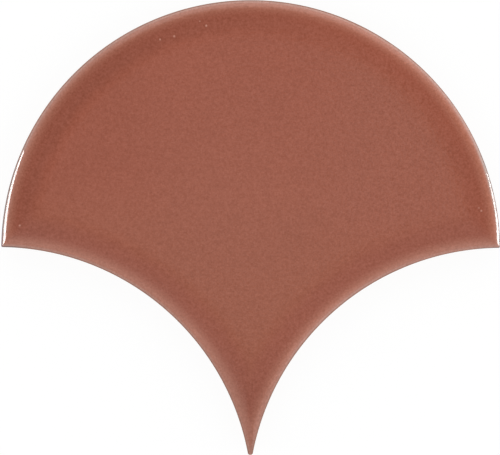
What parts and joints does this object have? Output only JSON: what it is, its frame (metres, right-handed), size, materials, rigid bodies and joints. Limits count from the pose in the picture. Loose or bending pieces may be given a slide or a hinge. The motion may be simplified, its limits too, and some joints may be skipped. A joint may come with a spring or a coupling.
{
  "type": "fish scale tile",
  "caption": "Glazed terracotta fish scale wall tile with a half-round head, scalloped flanks that nest the next row's heads, a blunt point, a rolled edge and a keyed back.",
  "frame": {"origin": "centre of the head's arc, on the plane of the back", "axes": "+Z out of the glazed face, +Y towards the crown of the head, +X towards the right wing tip seen from the face"},
  "size_m": [0.17, 0.155, 0.009],
  "materials": {
    "glaze": "gloss"
  },
  "bodies": {
    "root": {"fish_scale_tile": "glaze"}
  },
  "joints": []
}
